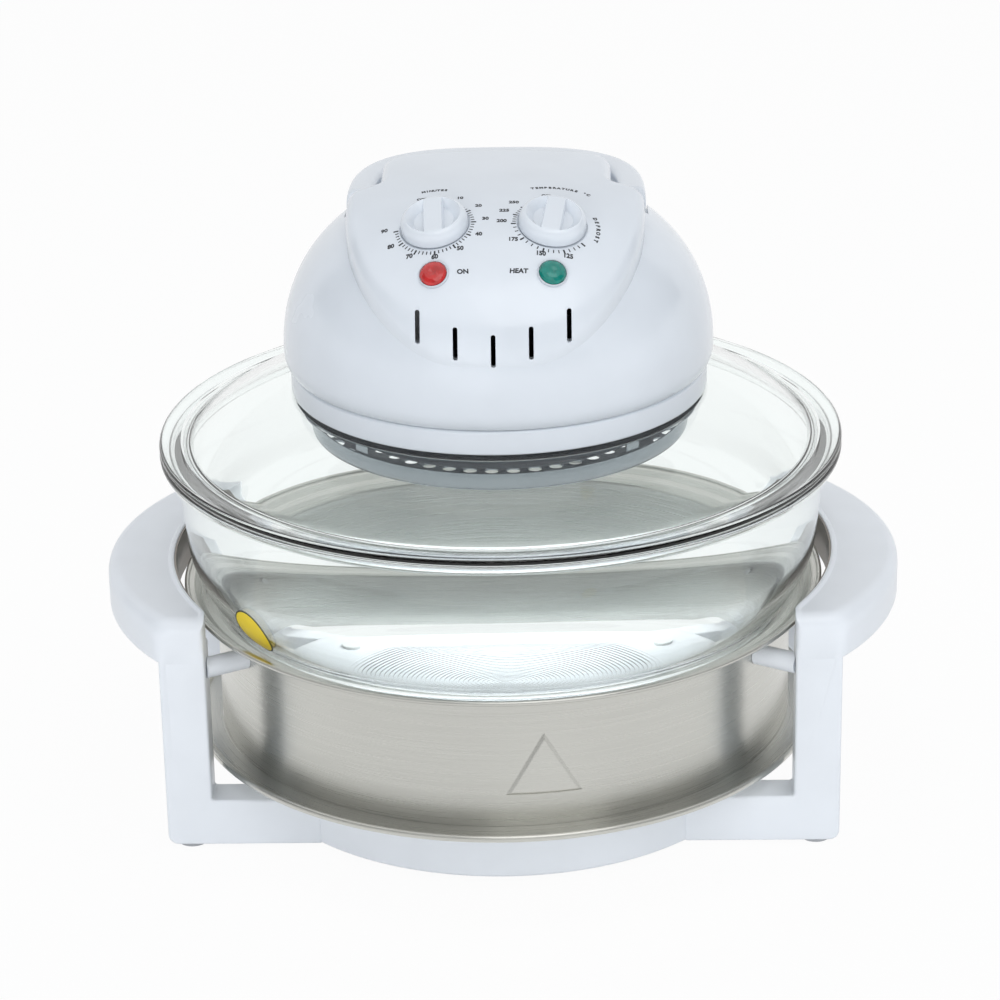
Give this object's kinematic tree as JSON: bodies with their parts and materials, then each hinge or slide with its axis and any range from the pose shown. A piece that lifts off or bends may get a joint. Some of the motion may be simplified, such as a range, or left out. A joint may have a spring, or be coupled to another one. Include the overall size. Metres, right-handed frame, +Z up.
{
  "type": "halogen oven",
  "caption": "Countertop halogen oven: glass bowl in a white legged stand with a steel band, lift-off glass lid carrying a domed heater head with dials and a folding handle.",
  "frame": {"origin": "centre of the four feet on the ground, on the bowl's axis", "axes": "+Z up along the bowl's axis, +X to the right across the side handles, -Y the front with the dials"},
  "size_m": [0.387, 0.33, 0.3142],
  "materials": {
    "stand_plastic": "smooth moulded white plastic",
    "head_plastic": "glossy moulded white plastic",
    "band_steel": "fine vertical brush, polished rims",
    "liner_steel": "dull rolled strip",
    "screw_steel": "plain zinc",
    "foot_rubber": "matt",
    "oven_glass": "clear heat-proof glass with polished rims",
    "gasket_silicone": "translucent silicone",
    "guard_steel": "polished sheet",
    "quartz_tube": "clear quartz",
    "ceramic": "unglazed ceramic",
    "bracket_steel": "zinc-plated sheet",
    "core_iron": "stacked laminations",
    "rotor_aluminium": "turned",
    "copper_wire": "enamelled winding",
    "bearing_bronze": "sintered bronze",
    "control_housing": "plain moulded housing",
    "red_lens": "clear red lens",
    "green_lens": "clear green lens",
    "bezel_plastic": "white ring",
    "dark_plastic": "black moulded plastic",
    "cream_plastic": "plain moulded",
    "shaft_steel": "ground bar",
    "fan_aluminium": "pressed sheet",
    "cooling_plastic": "moulded blades"
  },
  "bodies": {
    "stand": {"base_disc": "stand_plastic", "leg_front_left": "stand_plastic", "leg_front_right": "stand_plastic", "leg_rear_left": "stand_plastic", "leg_rear_right": "stand_plastic", "side_handle_left": "stand_plastic", "side_handle_right": "stand_plastic", "band_spacers": "stand_plastic", "liner_left": "liner_steel", "liner_right": "liner_steel", "heat_band": "band_steel", "lower_rim": "band_steel", "band_screws": "screw_steel", "base_screws": "screw_steel", "rubber_feet": "foot_rubber", "bowl_pads": "foot_rubber"},
    "bowl": {"bowl": "oven_glass"},
    "lid": {"lid_glass": "oven_glass", "upper_gasket": "gasket_silicone", "lower_gasket": "gasket_silicone", "head_base": "head_plastic", "head_shell": "head_plastic", "control_panel": "head_plastic", "heat_can": "guard_steel", "reflector": "guard_steel", "heater_tube": "quartz_tube", "heater_caps": "ceramic", "heater_clips": "guard_steel", "guard_rim": "guard_steel", "guard_plate": "guard_steel", "guard_struts": "guard_steel", "clamp_screws": "screw_steel", "head_screws": "screw_steel", "motor_bridge": "bracket_steel", "motor_core": "core_iron", "motor_coil": "copper_wire", "motor_strap": "bracket_steel", "lower_bearing": "bearing_bronze", "upper_bearing": "bearing_bronze", "timer_unit": "control_housing", "thermostat_unit": "control_housing", "power_lamp": "red_lens", "heat_lamp": "green_lens", "lamp_bezels": "bezel_plastic", "safety_switch": "dark_plastic", "mains_inlet": "dark_plastic", "terminal_block": "cream_plastic", "handle_pins": "screw_steel"},
    "fan": {"motor_shaft": "shaft_steel", "motor_rotor": "rotor_aluminium", "convection_fan": "fan_aluminium", "cooling_fan": "cooling_plastic", "fan_nut": "shaft_steel"},
    "lift_handle": {"lift_handle": "head_plastic"},
    "switch_plunger": {"switch_plunger": "dark_plastic"},
    "timer_knob": {"timer_knob": "head_plastic", "timer_stem": "shaft_steel"},
    "temperature_knob": {"temperature_knob": "head_plastic", "thermostat_stem": "shaft_steel"}
  },
  "joints": [
    {"name": "bowl_lift", "type": "slide", "parent": "stand", "child": "bowl", "axis": [0, 0, 1], "range_m": [0, 0.2]},
    {"name": "lid_lift", "type": "slide", "parent": "bowl", "child": "lid", "axis": [0, 0, 1], "range_m": [0, 0.25]},
    {"name": "fan_spin", "type": "hinge", "parent": "lid", "child": "fan", "pos_m": [0, 0, 0.22], "axis": [0, 0, 1], "continuous": true},
    {"name": "handle_hinge", "type": "hinge", "parent": "lid", "child": "lift_handle", "pos_m": [0, 0.008, 0.2931], "axis": [1, 0, 0], "range_deg": [0, 90]},
    {"name": "switch_slide", "type": "slide", "parent": "lid", "child": "switch_plunger", "axis": [0, 0, 1], "range_m": [0, 0.003]},
    {"name": "timer_turn", "type": "hinge", "parent": "lid", "child": "timer_knob", "pos_m": [-0.027, -0.051, 0.30084], "axis": [-0.1224, -0.34, 0.9324], "range_deg": [-270, 0]},
    {"name": "temperature_turn", "type": "hinge", "parent": "lid", "child": "temperature_knob", "pos_m": [0.027, -0.051, 0.30084], "axis": [0.1224, -0.34, 0.9324], "range_deg": [-315, 0]}
  ],
  "couplings": [
    {"joint": "switch_slide", "follows": "handle_hinge", "m_per_rad": 0.0019}
  ]
}
